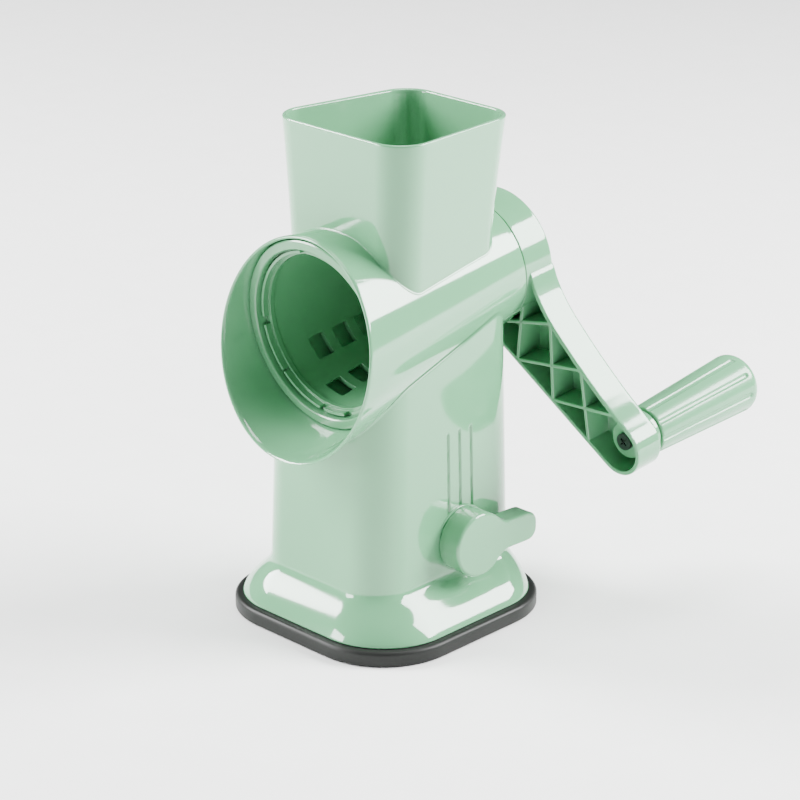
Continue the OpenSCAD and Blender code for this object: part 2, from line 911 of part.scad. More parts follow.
module grip_groove() {
    lean = atan((grip_large_radius - grip_small_radius) / (grip_length - 5));
    translate([grip_small_radius + 1.1, 0, grip_start - 2])
        rotate([0, lean, 0]) {
            cylinder(r = 1.9, h = grip_length - 8, $fn = soft);
            translate([0, 0, grip_length - 8])
                sphere(r = 1.9, $fn = soft);
        }
}

// ---- drum ----

function drum_radius(a) = drum_back_radius + (a - drum_back) * drum_flare;

module cone_shell(low, high, outer_extra, thick) {
    difference() {
        translate([0, 0, low])
            cylinder(r1 = drum_radius(low) + outer_extra, r2 = drum_radius(high) + outer_extra,
                h = high - low, $fn = fine);
        translate([0, 0, low - 1])
            cylinder(r1 = drum_radius(low - 1) + outer_extra - thick,
                r2 = drum_radius(high + 1) + outer_extra - thick, h = high - low + 2, $fn = fine);
    }
}

function slot_start(k, odd) =
    drum_back + plate_depth + 4 + k * slot_pitch + (odd == 1 ? slot_pitch / 2 : 0);

module drum_shell() {
    sheet_front = drum_front - ring_depth;
    color(steel)
        on_axis()
            difference() {
                union() {
                    cone_shell(drum_back + plate_depth, sheet_front, 0, drum_sheet);
                    for (row = [0:slot_rows - 1])
                        for (k = [0:slots_per_row - 1])
                            let (start = slot_start(k, row % 2))
                            rotate([0, 0, first_row + row * row_pitch - slot_angle / 2])
                                rotate_extrude(angle = slot_angle, $fn = fine)
                                    polygon([
                                        [drum_radius(start) - drum_sheet * 0.6, start - lip_thickness],
                                        [drum_radius(start) + tooth_height, start - 0.1],
                                        [drum_radius(start) + tooth_height, start + 0.7],
                                        [drum_radius(start) - drum_sheet * 0.6, start + 0.7]
                                    ]);
                }
                for (row = [0:slot_rows - 1])
                    for (k = [0:slots_per_row - 1])
                        let (start = slot_start(k, row % 2))
                        rotate([0, 0, first_row + row * row_pitch - slot_angle / 2 + 1])
                            rotate_extrude(angle = slot_angle - 2, $fn = fine)
                                translate([drum_radius(start) - 5, start + 0.4])
                                    square([10, slot_width - 0.4]);
            }
}

module drum_front_ring() {
    low = drum_front - ring_depth;
    lip_outer = ring_outer - ring_face - ring_lip_set;
    lip_inner = lip_outer - ring_lip;
    floor_inner = drum_radius(low) - drum_sheet - 0.6;
    color(green)
        on_axis() {
            rotate_extrude($fn = fine)
                polygon([
                    [floor_inner, low],
                    [ring_outer - 3.6, low],
                    [ring_outer - 0.45, drum_front - 3],
                    [ring_outer, drum_front - 0.6],
                    [ring_outer - 0.6, drum_front],
                    [ring_outer - ring_face + 0.5, drum_front],
                    [ring_outer - ring_face, drum_front - 0.5],
                    [lip_outer, low + ring_floor],
                    [floor_inner, low + ring_floor]
                ]);
            for (span = lip_spans)
                rotate([0, 0, span[0]])
                    rotate_extrude(angle = span[1], $fn = fine)
                        translate([lip_inner - 0.8, low + 2])
                            square([ring_lip, ring_depth - 4.6]);
        }
}

module drum_back_plate() {
    color(green)
        on_axis()
            difference() {
                union() {
                    translate([0, 0, drum_back])
                        cylinder(r1 = drum_radius(drum_back), r2 = drum_radius(drum_back + plate_depth),
                            h = plate_depth, $fn = fine);
                    translate([0, 0, drum_back + plate_depth - 1])
                        cylinder(r = spindle_radius + 5, h = 8, $fn = fine);
                }
                translate([0, 0, drum_back + 1])
                    translate([-socket_half - 0.1, -socket_half - 0.1, -3])
                        cube([2 * socket_half + 0.2, 2 * socket_half + 0.2, plate_depth + 10]);
            }
}

// ---- which pieces are drawn ----

feed_hopper();
drum_barrel();
pedestal();
base_plate();
base_screws();
foot_pad();
suction_cup();
return_spring();
pull_stem();
spindle_bush();
thrust_washer();
drive_spindle();
spindle_clip();
crank_arm();
crank_screw();
grip_axle();
axle_screw();
grip_sleeve();
drum_shell();
drum_front_ring();
drum_back_plate();
lever_knob();
lever_shaft();
shaft_clip();
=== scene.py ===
import json
import math
import bmesh
import bpy
import numpy as np
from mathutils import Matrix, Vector


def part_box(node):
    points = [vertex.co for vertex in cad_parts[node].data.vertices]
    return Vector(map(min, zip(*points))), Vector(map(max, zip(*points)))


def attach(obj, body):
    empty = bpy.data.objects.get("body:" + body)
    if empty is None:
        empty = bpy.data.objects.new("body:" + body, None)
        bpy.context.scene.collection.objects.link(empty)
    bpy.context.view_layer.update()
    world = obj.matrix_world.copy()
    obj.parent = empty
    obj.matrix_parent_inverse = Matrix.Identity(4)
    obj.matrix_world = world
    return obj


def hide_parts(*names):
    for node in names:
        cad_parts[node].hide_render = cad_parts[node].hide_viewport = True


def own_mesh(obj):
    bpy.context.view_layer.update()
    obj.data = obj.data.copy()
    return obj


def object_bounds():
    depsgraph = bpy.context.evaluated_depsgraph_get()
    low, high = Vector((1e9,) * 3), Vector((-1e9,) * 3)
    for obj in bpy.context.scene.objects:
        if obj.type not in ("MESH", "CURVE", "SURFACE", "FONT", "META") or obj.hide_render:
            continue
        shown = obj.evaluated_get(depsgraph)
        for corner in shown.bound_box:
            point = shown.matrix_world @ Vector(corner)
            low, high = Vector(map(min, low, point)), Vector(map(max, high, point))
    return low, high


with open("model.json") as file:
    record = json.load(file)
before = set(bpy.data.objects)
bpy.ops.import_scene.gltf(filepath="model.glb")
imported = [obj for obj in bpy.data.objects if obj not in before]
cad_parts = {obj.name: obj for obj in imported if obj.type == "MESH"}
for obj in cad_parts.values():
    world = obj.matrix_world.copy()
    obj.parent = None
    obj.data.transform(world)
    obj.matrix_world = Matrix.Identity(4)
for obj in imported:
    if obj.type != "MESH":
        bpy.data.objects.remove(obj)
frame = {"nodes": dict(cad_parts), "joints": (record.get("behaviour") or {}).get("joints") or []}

OLD_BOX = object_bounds()
MM = 0.001
JOINT = {j["name"]: j for j in frame["joints"]}
TURN = 2 * math.pi


def box_mm(node):
    low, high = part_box(node)
    return np.array(low) / MM, np.array(high) / MM


def place_mm(name):
    return np.array(JOINT[name]["pos_m"], float) / MM


# ---- mesh helpers, all in millimetres ----


def quads(rows, cols, wrap_rows=False, wrap_cols=True):
    r = np.arange(rows if wrap_rows else rows - 1)
    c = np.arange(cols if wrap_cols else cols - 1)
    r, c = np.meshgrid(r, c, indexing="ij")
    r2, c2 = (r + 1) % rows, (c + 1) % cols
    faces = [r * cols + c, r * cols + c2, r2 * cols + c2, r2 * cols + c]
    return np.stack(faces, -1).reshape(-1, 4)


def ring_skin(points):
    """Closed skin through rows of points that run round and back to the start."""
    rows, cols = points.shape[:2]
    return points.reshape(-1, 3), quads(rows, cols, True, True).tolist()


def capped_skin(points):
    """Closed skin through rows of points, with a flat face at each end."""
    rows, cols = points.shape[:2]
    faces = quads(rows, cols).tolist()
    faces.append(list(range(cols))[::-1])
    faces.append([(rows - 1) * cols + i for i in range(cols)])
    return points.reshape(-1, 3), faces


def turned(profile, steps):
    """Rows of points that a (radius, height) profile makes when it turns about +Z."""
    p = np.array(profile, float)
    a = np.arange(steps) * TURN / steps
    return np.stack([p[:, :1] * np.cos(a), p[:, :1] * np.sin(a), np.repeat(p[:, 1:], steps, 1)], -1)


def lathe(profile, steps=128):
    """Closed skin of a (radius, height) profile that runs round and back to its start."""
    return ring_skin(turned(profile, steps))


def arc(cx, cy, r, start, end, steps=8):
    a = np.radians(np.linspace(start, end, steps + 1))
    return [(cx + r * math.cos(t), cy + r * math.sin(t)) for t in a]


def moved(part, matrix):
    points, faces = part
    m = np.array(matrix, float)
    return points @ m[:3, :3].T + m[:3, 3], faces


def frame_matrix(x, y, z, origin):
    m = np.eye(4)
    m[:3, 0], m[:3, 1], m[:3, 2], m[:3, 3] = x, y, z, origin
    return m


def upright(origin):
    return frame_matrix([1, 0, 0], [0, 1, 0], [0, 0, 1], origin)


def mesh_object(name, parts, sharp=38):
    verts, faces = [], []
    for points, part_faces in parts:
        base = len(verts)
        verts.extend((np.asarray(points) * MM).tolist())
        faces.extend([[base + i for i in f] for f in part_faces])
    mesh = bpy.data.meshes.new(name)
    mesh.from_pydata(verts, [], faces)
    work = bmesh.new()
    work.from_mesh(mesh)
    bmesh.ops.recalc_face_normals(work, faces=work.faces)
    work.to_mesh(mesh)
    work.free()
    finish_shading(mesh, sharp)
    obj = bpy.data.objects.new(name, mesh)
    bpy.context.scene.collection.objects.link(obj)
    return obj


def finish_shading(mesh, sharp):
    mesh.polygons.foreach_set("use_smooth", [True] * len(mesh.polygons))
    mesh.set_sharp_from_angle(angle=math.radians(sharp))
    mesh.update()


def cut(obj, cutter_parts, sharp=38):
    """Takes closed shapes out of an object."""
    tool = mesh_object(obj.name + "_tool", cutter_parts)
    mod = obj.modifiers.new("cut", "BOOLEAN")
    mod.operation = "DIFFERENCE"
    mod.solver = "EXACT"
    mod.object = tool
    bpy.context.view_layer.update()
    graph = bpy.context.evaluated_depsgraph_get()
    mesh = bpy.data.meshes.new_from_object(obj.evaluated_get(graph))
    obj.modifiers.clear()
    obj.data = mesh
    bpy.data.objects.remove(tool)
    finish_shading(mesh, sharp)
    return obj


def finished(obj, material, body, slot, *nodes):
    obj.data.materials.clear()
    obj.data.materials.append(material)
    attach(obj, body)
    if nodes:
        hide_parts(*nodes)
    return obj


# ---- materials ----


def noise(nodes, scale, detail):
    texture = nodes.new("ShaderNodeTexNoise")
    texture.inputs["Scale"].default_value = scale
    texture.inputs["Detail"].default_value = detail
    return texture


def plastic(name, color, rough, coat=0.0, bump=0.02, grain=900.0, spread=0.05, edge=0.0, scatter=0.0):
    """Slightly uneven plastic; edge is the radius in metres of the soft edges that the light sees."""
    mat = bpy.data.materials.new(name)
    mat.use_nodes = True
    tree = mat.node_tree
    nodes, links = tree.nodes, tree.links
    shader = nodes["Principled BSDF"]
    shader.inputs["Coat Weight"].default_value = coat
    shader.inputs["Coat Roughness"].default_value = 0.05
    shader.inputs["IOR"].default_value = 1.5
    if scatter:
        shader.inputs["Subsurface Weight"].default_value = scatter
        shader.inputs["Subsurface Radius"].default_value = (0.004, 0.006, 0.004)
        shader.inputs["Subsurface Scale"].default_value = 0.5
    place = nodes.new("ShaderNodeTexCoord")
    cloud = noise(nodes, 45.0, 4.0)
    fine = noise(nodes, grain, 6.0)
    scuff = noise(nodes, 12.0, 12.0)
    scuff.inputs["Roughness"].default_value = 0.75
    for n in (cloud, fine, scuff):
        links.new(place.outputs["Object"], n.inputs["Vector"])
    tint = nodes.new("ShaderNodeMix")
    tint.data_type = "RGBA"
    tint.inputs["A"].default_value = (*[c * 0.97 for c in color], 1)
    tint.inputs["B"].default_value = (*[min(c * 1.03, 1) for c in color], 1)
    links.new(cloud.outputs["Fac"], tint.inputs["Factor"])
    links.new(tint.outputs["Result"], shader.inputs["Base Color"])
    band = nodes.new("ShaderNodeMapRange")
    band.inputs["From Min"].default_value = 0.35
    band.inputs["From Max"].default_value = 0.75
    band.inputs["To Min"].default_value = rough
    band.inputs["To Max"].default_value = rough + spread
    links.new(scuff.outputs["Fac"], band.inputs["Value"])
    links.new(band.outputs["Result"], shader.inputs["Roughness"])
    relief = nodes.new("ShaderNodeBump")
    relief.inputs["Strength"].default_value = bump
    relief.inputs["Distance"].default_value = 0.0002
    links.new(fine.outputs["Fac"], relief.inputs["Height"])
    if edge:
        soft = nodes.new("ShaderNodeBevel")
        soft.samples = 6
        soft.inputs["Radius"].default_value = edge
        links.new(soft.outputs["Normal"], relief.inputs["Normal"])
    links.new(relief.outputs["Normal"], shader.inputs["Normal"])
    return mat


def metal(name, color, rough):
    mat = plastic(name, color, rough, bump=0.03, grain=1500.0, spread=0.1)
    mat.node_tree.nodes["Principled BSDF"].inputs["Metallic"].default_value = 1.0
    return mat


# The second, darker mint is the same plastic with painted shade, for the drum parts deep inside the
# barrel.
MINT, SHADED_MINT, BLACK = (0.118, 0.352, 0.178), (0.085, 0.27, 0.13), (0.012, 0.013, 0.012)
mint = plastic("mint_gloss", MINT, 0.07, coat=0.6, bump=0.01, grain=700.0, spread=0.04, scatter=0.05)
mint_edge = plastic("mint_moulded", MINT, 0.09, coat=0.6, bump=0.01, grain=700.0, spread=0.04,
                    edge=0.0004, scatter=0.05)
mint_grip = plastic("mint_grip", MINT, 0.2, coat=0.3, spread=0.08, scatter=0.05)
# The drum's material takes the darker mint as painted shade.
mint_drum = plastic("mint_drum", SHADED_MINT, 0.16, coat=0.2, spread=0.06, edge=0.0004, scatter=0.05)
rubber = plastic("black_rubber_skin", BLACK, 0.38, bump=0.12, grain=1400.0, spread=0.15)
rubber.node_tree.nodes["Principled BSDF"].inputs["Specular IOR Level"].default_value = 0.22
natural = plastic("natural_plastic_skin", (0.72, 0.75, 0.7), 0.4, bump=0.03, spread=0.1, edge=0.0003)
bright = metal("bright_steel_skin", (0.62, 0.63, 0.65), 0.22)
# Near-black steel is painted shade: it darkens the axle screw so the hole in the crank end's boss reads as
# shaded.
painted_shade_steel = metal("painted_shade_steel_skin", (0.06, 0.065, 0.065), 0.35)

# ---- keystone outlines ----


def sides(per_arc, right, back, left, front):
    """Places round a keystone outline: the corner it follows, whether it is on that arc, how far along."""
    rows = []
    for corner, straight in enumerate((right, back, left, front)):
        rows += [(corner, 1, i / per_arc) for i in range(per_arc)]
        rows += [(corner, 0, f) for f in straight]
    return np.array(rows, float)


def keystone(places, front_half, back_half, front, back, radius):
    """Points and outward directions round a keystone; each size may change with the row."""
    side = np.arctan((front_half - back_half) / (front + back))
    fx = front_half - radius * np.tan(side) - radius / np.cos(side)
    bx = back_half + radius * np.tan(side) - radius / np.cos(side)
    cx = [fx, bx, -bx, -fx]
    cy = [radius - front, back - radius, back - radius, radius - front]
    half = math.pi / 2
    start = [-half + 0 * side, side, half + 0 * side, math.pi - side]
    stop = [side, half + 0 * side, math.pi - side, 3 * half + 0 * side]
    x = np.zeros(np.broadcast(front_half, places[:, 0]).shape)
    y, angle = x.copy(), x.copy()
    for k in range(4):
        n = (k + 1) % 4
        for on_arc in (0, 1):
            at = (places[:, 0] == k) & (places[:, 1] == on_arc)
            f = places[at, 2]
            x0, y0, begin, end, x1, y1, r = [
                np.broadcast_to(v, x.shape)[:, at]
                for v in (cx[k], cy[k], start[k], stop[k], cx[n], cy[n], radius)]
            if on_arc:
                a = begin + (end - begin) * f
                x[:, at] = x0 + r * np.cos(a)
                y[:, at] = y0 + r * np.sin(a)
            else:
                a = end
                x[:, at] = x0 + (x1 - x0) * f + r * np.cos(a)
                y[:, at] = y0 + (y1 - y0) * f + r * np.sin(a)
            angle[:, at] = a
    return x, y, np.cos(angle), np.sin(angle)


def even(count):
    return [i / count for i in range(count)]


# ---- the barrel's own frame ----

SEAM = place_mm("crank_spin")
OUT = np.array(JOINT["crank_spin"]["axis"], float)
TO_MOUTH = -OUT
UP = np.array([0.0, -TO_MOUTH[2], TO_MOUTH[1]])
UP = UP if UP[2] > 0 else -UP
BARREL = frame_matrix([1, 0, 0], UP, TO_MOUTH, SEAM)
# Radii at the seam plane, and how much each grows per millimetre towards the mouth.
RADIUS, FLARE = 30.4, 0.1525
REACH, SLANT = 112.4, math.tan(math.radians(16.5))
WALL, END_WALL, BUSH_HOLE = 2.4, 4.6, 9.0
CAVITY_FLARE = 0.16167
CAVITY = 28.7 - END_WALL * CAVITY_FLARE
MOUTH_LIP, SEAM_ROUND, SEAM_STEP = 0.9, 0.3, 1.6


def barrel_gap(x, y, z, radius=RADIUS, flare=FLARE):
    p = np.stack([x, y, z], -1) - SEAM
    a = p @ TO_MOUTH
    r = np.linalg.norm(p - a[..., None] * TO_MOUTH, axis=-1)
    return (r - radius - a * flare) / math.hypot(1, flare)


def meet_barrel(outline, low, high, radius=RADIUS, flare=FLARE):
    """Height at each place round an outline where it meets the barrel; low is outside it."""
    count = outline(np.array([[low]]))[0].shape[1]
    a, b = np.full((1, count), float(low)), np.full((1, count), float(high))
    for _ in range(36):
        mid = (a + b) / 2
        x, y = outline(mid)[:2]
        out = barrel_gap(x, y, mid, radius, flare) > 0
        a, b = np.where(out, mid, a), np.where(out, b, mid)
    return a


def fillet(x, y, z, nx, ny, radius):
    gap = np.clip(barrel_gap(x, y, z), 0, radius)
    push = radius - np.sqrt(np.maximum(radius**2 - (radius - gap) ** 2, 0))
    return x + nx * push, y + ny * push


# ---- hopper ----

hopper_low, hopper_high = box_mm("feed_hopper")
HOPPER_TOP = hopper_high[2]
HOPPER_BASE = SEAM[2] - 8
HOPPER_WALL, HOPPER_LIP, HOPPER_FILLET = 2.1, 0.9, 0.5
# Outline at the top, and how much less each size is at HOPPER_BASE.
HOPPER_FRONT_HALF, FRONT_HALF_DRAW = hopper_high[0] + 2.0, 4.2
HOPPER_BACK_HALF, BACK_HALF_DRAW = 33.5, 7.6
FRONT_DRAW, BACK_DRAW = 2.52, 4.18
HOPPER_CORNER, CORNER_DRAW = 15, 2
hopper_places = sides(20, even(26), even(22), even(26), even(26))


def hopper_outline(z, inset=0.0):
    t = np.clip((z - HOPPER_BASE) / (HOPPER_TOP - HOPPER_BASE), 0, 1)
    draw = 1 - t**1.5
    return keystone(hopper_places,
                    HOPPER_FRONT_HALF - draw * FRONT_HALF_DRAW - inset,
                    HOPPER_BACK_HALF - draw * BACK_HALF_DRAW - inset,
                    -hopper_low[1] - draw * FRONT_DRAW - inset, hopper_high[1] - draw * BACK_DRAW - inset,
                    HOPPER_CORNER - draw * CORNER_DRAW - inset)


def hopper_rows(z, inset, rounded=0.0):
    x, y, nx, ny = hopper_outline(z, inset)
    if rounded:
        x, y = fillet(x, y, z, nx, ny, rounded)
    return np.stack([x, y, z + 0 * x], -1)


def build_hopper():
    def inside(z):
        return hopper_outline(z, HOPPER_WALL)

    bottom = meet_barrel(hopper_outline, HOPPER_TOP, HOPPER_BASE)
    inner_bottom = meet_barrel(inside, HOPPER_TOP, HOPPER_BASE, CAVITY, CAVITY_FLARE)
    lip = HOPPER_LIP
    u = np.linspace(0, 1, 64)[:, None] ** 1.5
    outer = bottom + 0.02 + (HOPPER_TOP - lip - bottom) * u
    rows = [hopper_rows(bottom - 0.4, 0.0, HOPPER_FILLET), hopper_rows(outer, 0.0, HOPPER_FILLET)]
    for d, h in arc(lip, 0, lip, 162, 90, 6) + arc(HOPPER_WALL - lip, 0, lip, 90, 18, 6):
        rows.append(hopper_rows(HOPPER_TOP - lip + h + 0 * bottom, d))
    inner = inner_bottom + (HOPPER_TOP - lip - inner_bottom) * np.linspace(1, 0, 40)[:, None]
    rows.append(hopper_rows(inner, HOPPER_WALL))
    return mesh_object("hopper_skin", [ring_skin(np.concatenate(rows))], 50)


def hopper_throat():
    """Closed shape of the hopper's inside, which is cut from the barrel."""
    levels = np.linspace(SEAM[2] - 1.0, HOPPER_TOP + 4, 24)[:, None] + np.zeros((1, len(hopper_places)))
    return capped_skin(hopper_rows(levels, HOPPER_WALL))


# ---- barrel ----


def mouth_station(radius, flare, lift):
    """How far along the barrel a cone meets the slanted mouth, at a lift of -1 below to 1 above."""
    s = lift * SLANT
    return (REACH - radius * s) / (1 + flare * s)


def build_barrel():
    steps = 320
    phi = np.arange(steps) * TURN / steps
    lift = np.sin(phi)
    end_out = mouth_station(RADIUS, FLARE, lift)
    end_in = mouth_station(CAVITY, CAVITY_FLARE, lift)
    rows = []

    def add(radius, station):
        r, a = np.broadcast_arrays(np.asarray(radius, float), np.asarray(station, float) + 0 * phi)
        rows.append(np.stack([r * np.cos(phi), r * np.sin(phi), a], -1))

    rim = RADIUS - WALL
    back = [(BUSH_HOLE, SEAM_STEP), (rim, SEAM_STEP), (rim, SEAM_ROUND), (rim + SEAM_ROUND, 0.0)]
    for r, a in back + arc(RADIUS - SEAM_ROUND, SEAM_ROUND, SEAM_ROUND, -90, 0, 6):
        add(r, a)
    start = 2 * SEAM_ROUND
    for t in np.linspace(0.012, 1, 110):
        a = start + (end_out - MOUTH_LIP - start) * t
        add(RADIUS + FLARE * a, a)
    for k in np.linspace(0, 1, 13)[1:-1]:
        out = math.sin(math.pi * k) ** 0.7
        a = (end_out * (1 - k) + end_in * k) - MOUTH_LIP + MOUTH_LIP * out
        add((RADIUS + FLARE * a) * (1 - k) + (CAVITY + CAVITY_FLARE * a) * k, a)
    for t in np.linspace(1, 0, 90):
        a = END_WALL + (end_in - MOUTH_LIP - END_WALL) * t
        add(CAVITY + CAVITY_FLARE * a, a)
    add(BUSH_HOLE, END_WALL)
    skin = moved(ring_skin(np.stack(rows)), BARREL)
    return cut(mesh_object("barrel_skin", [skin], 50), [hopper_throat()], 50)


# ---- pedestal ----

foot_low, foot_high = box_mm("foot_pad")
column_low, column_high = box_mm("pedestal")
LEVER = place_mm("lever_turn")
LEVER_FRAME = frame_matrix([0, 1, 0], [0, 0, 1], [1, 0, 0], [0, LEVER[1], LEVER[2]])
SKIRT_TOP, COLUMN_RISE = 26, 123
# Widths, reaches and corner of the column above the skirt, and how much the first three shrink by its top.
FRONT_WIDTH, BACK_WIDTH, COLUMN_FRONT, COLUMN_BACK, COLUMN_CORNER = 81, 71, 45.5, 50, 18
FRONT_TAPER, BACK_TAPER, LEAN = 3, 10, 4
SKIRT_CORNER, SKIRT_BACK_HALF, SKIRT_SUNK, SKIRT_HEIGHT = 32.6, 51.1, 1.8, 19
# Share of the skirt's full flare at each share of its height.
SKIRT_LEVELS = [0, 0.16, 0.34, 0.5, 0.66, 0.8, 0.92, 1]
SKIRT_FLARE = [1, 0.9, 0.74, 0.56, 0.35, 0.17, 0.05, 0]
GROOVE_PITCH, GROOVE_LOW, GROOVE_TOP, GROOVE_DEPTH = 7.6, 6, 49.5, 0.95
GROOVE_FLAT, GROOVE_EDGE = 0.55, 1.15
groove_side = [0.0, *np.linspace(0.02, 0.4, 16), *np.linspace(0.41, 0.82, 96), *np.linspace(0.84, 0.98, 8)]
column_places = sides(22, groove_side, even(20), even(26), even(34))


def column_outline(z, inset=0.0):
    rise = np.clip(z - SKIRT_TOP, 0, None) / COLUMN_RISE
    share = (z - foot_high[2] + SKIRT_SUNK) / SKIRT_HEIGHT
    # The mean of nine samples rounds the profile's corners.
    samples = [np.interp(share + o, SKIRT_LEVELS, SKIRT_FLARE) for o in np.linspace(-0.09, 0.09, 9)]
    flared = np.mean(samples, axis=0)

    def mix(column, skirt):
        return column + (skirt - column) * flared - inset

    return keystone(column_places,
                    mix((FRONT_WIDTH - FRONT_TAPER * rise) / 2, column_high[0] + 2.0),
                    mix((BACK_WIDTH - BACK_TAPER * rise) / 2, SKIRT_BACK_HALF),
                    mix(COLUMN_FRONT - LEAN * rise, column_high[1]), mix(COLUMN_BACK, column_high[1]),
                    mix(COLUMN_CORNER, SKIRT_CORNER))


def column_rows(z, inset, rounded=0.0, grooved=False):
    x, y, nx, ny = column_outline(z, inset)
    if rounded:
        x, y = fillet(x, y, z, nx, ny, rounded)
    if grooved:
        up = np.clip(z, LEVER[2] + GROOVE_LOW, LEVER[2] + GROOVE_TOP)
        for k in (-1, 0, 1):
            far = np.hypot(y - LEVER[1] - k * GROOVE_PITCH, z - up)
            slope = np.clip((far - GROOVE_FLAT) / (GROOVE_EDGE - GROOVE_FLAT), 0, 1)
            depth = GROOVE_DEPTH * (1 - slope**2 * (3 - 2 * slope))
            hit = (x > 0) & (far < GROOVE_EDGE)
            x = np.where(hit, x - nx * depth, x)
            y = np.where(hit, y - ny * depth, y)
    return np.stack([x, y, z + 0 * x], -1)


def lever_wall():
    """How far out the column's +X wall is at the lever."""
    x, y = [v[0] for v in column_outline(np.array([[LEVER[2]]]))[:2]]
    x, y = x[x > 20], y[x > 20]
    order = np.argsort(y)
    return float(np.interp(LEVER[1], y[order], x[order]))


def build_pedestal():
    """The column with its bore for the lever, and apart from it the lever's seat and the screw posts."""
    low = column_low[2] + 0.25
    flat = np.zeros((1, len(column_places)))
    top = meet_barrel(column_outline, 90, 152)
    inner_top = meet_barrel(lambda z: column_outline(z, WALL), 90, 152)
    skirt = np.linspace(low + 0.4, 30, 46)[:, None] + flat
    u = np.linspace(0, 1, 132)[1:, None]
    u = u * (1.12 - 0.12 * u)
    column = 30 + (top - 0.02 - 30) * u / u.max()
    inside = 30 + (inner_top - 30) * np.linspace(0.98, 0, 20)[:, None]
    rows = [column_rows(low + flat, 0.3), column_rows(skirt, 0.0),
            column_rows(column, 0.0, 0.6, True), column_rows(top + 0.4, 0.0, 0.6),
            column_rows(inner_top + 0.2, WALL), column_rows(inside, WALL),
            column_rows(np.linspace(29, low, 16)[:, None] + flat, WALL)]
    bore = moved(capped_skin(turned([(7.1, 20.0), (7.1, 60.0)], 64)), LEVER_FRAME)
    obj = cut(mesh_object("pedestal_skin", [ring_skin(np.concatenate(rows))], 50), [bore], 50)
    wall_x = lever_wall()
    seat = [(7.2, wall_x - 6.5), (10, wall_x - 6.5), (10, wall_x - 1.0), (15.2, wall_x - 1.0)]
    seat += arc(14.9, wall_x + 0.5, 0.4, 0, 90, 5) + [(7.2, wall_x + 0.9)]
    extra = [moved(lathe(seat), LEVER_FRAME)]
    screw_low, screw_high = box_mm("base_screws")
    ys = (screw_low[1] + 3, screw_high[1] - 3)
    # The column's sides draw in towards the back, and the posts follow them.
    side_slope = ((FRONT_WIDTH - BACK_WIDTH) / 2 + 3.5 * 20 / COLUMN_RISE) / (COLUMN_FRONT + COLUMN_BACK)
    post = lathe([(1.5, 12.05), (4.4, 12.05), (4.4, 46), (0.01, 46), (0.01, 24), (1.5, 24)], 32)
    for sx in (-1, 1):
        for y in ys:
            x = screw_high[0] - 3 - (y - ys[0]) * side_slope
            extra.append(moved(post, upright([sx * x, y, 0])))
    return obj, mesh_object("pedestal_bosses", extra, 50)


def build_foot():
    places = sides(30, even(16), even(16), even(16), even(16))
    front_half = foot_high[0] + 1.96
    back_half, length, corner, cup_radius = front_half - 6.5, foot_high[1], 36.0, 46
    low_round, top_round = 0.9, 2.0

    def at(inset, z):
        sizes = [np.array([[v - inset]]) for v in (front_half, back_half, length, length, corner)]
        x, y = keystone(places, *sizes)[:2]
        return np.stack([x, y, z + 0 * x], -1)

    rim = at(0, 0)[0]
    a = np.arctan2(rim[:, 1], rim[:, 0])

    def hole(z):
        return np.stack([cup_radius * np.cos(a), cup_radius * np.sin(a), z + 0 * a], -1)[None]

    rows = [hole(0.0), at(2.0, 0.0)]
    rows += [at(low_round - d, low_round + h) for d, h in arc(0, 0, low_round, -90, 0, 6)]
    rows += [at(0, 3.0)]
    rows += [at(top_round - d, 5.0 + h) for d, h in arc(0, 0, top_round, 0, 90, 10)]
    rows += [at(5.6, 7.0), at(6.2, 7.0), at(6.4, foot_high[2]), hole(foot_high[2])]
    return mesh_object("foot_skin", [ring_skin(np.concatenate(rows))], 40)


# ---- crank ----

GRIP = place_mm("grip_spin")
LIFT = 1.4
reach = GRIP - SEAM - OUT * np.dot(GRIP - SEAM, OUT)
THROW = math.sqrt(np.dot(reach, reach) - LIFT**2) + LIFT
unit = reach / np.linalg.norm(reach)
skew = math.atan2(-LIFT, THROW - LIFT)
across = np.cross(OUT, unit)
ARM_X = unit * math.cos(skew) - across * math.sin(skew)
ARM_Y = np.cross(OUT, ARM_X)
ARM = frame_matrix(ARM_X, ARM_Y, OUT, SEAM)
GRIP_FRAME = frame_matrix(ARM_X, ARM_Y, OUT, SEAM + reach)
HUB, HEEL, END = 29.9, 28.3, 12.5
ARM_FRONT, ARM_DEPTH, FLOOR = 2.8, 18.4, 16.2
HUB_SWEEP, OUTLINE_POINTS = 27.5, 420
# How far the arm's upper edge stands outside the end's radius, at shares of the throw.
EDGE = [(0.225, 7.4), (0.26, 5.2), (0.31, 2.9), (0.37, 1.1), (0.44, 0.0), (0.53, -0.75), (0.62, -1.3),
        (0.71, -1.5), (0.8, -1.5), (0.87, -1.1), (0.93, -0.5)]


def smooth_outline(p, count, rounds):
    """Evenly spaced points round a closed outline, smoothed, and their outward directions."""
    closed = np.vstack([p, p[:1]])
    along = np.concatenate([[0], np.cumsum(np.linalg.norm(np.diff(closed, axis=0), axis=1))])
    s = np.linspace(0, along[-1], count + 1)[:-1]
    p = np.stack([np.interp(s, along, closed[:, 0]), np.interp(s, along, closed[:, 1])], -1)
    for _ in range(rounds):
        p = (np.roll(p, 1, 0) + 2 * p + np.roll(p, -1, 0)) / 4
    d = np.roll(p, -1, 0) - np.roll(p, 1, 0)
    n = np.stack([d[:, 1], -d[:, 0]], -1)
    return p, n / np.linalg.norm(n, axis=1, keepdims=True)


def arm_outline():
    tilt = math.asin((HEEL - END) / THROW)
    pts = arc(0, 0, HUB_SWEEP, 84, 306, 89)
    pts += [(THROW * f, -END - d) for f, d in EDGE]
    pts += arc(THROW, 0, END, -100, 90 - math.degrees(tilt), 40)
    pts.append((HEEL * math.sin(tilt), HEEL * math.cos(tilt)))
    return smooth_outline(np.array(pts), OUTLINE_POINTS, 3)


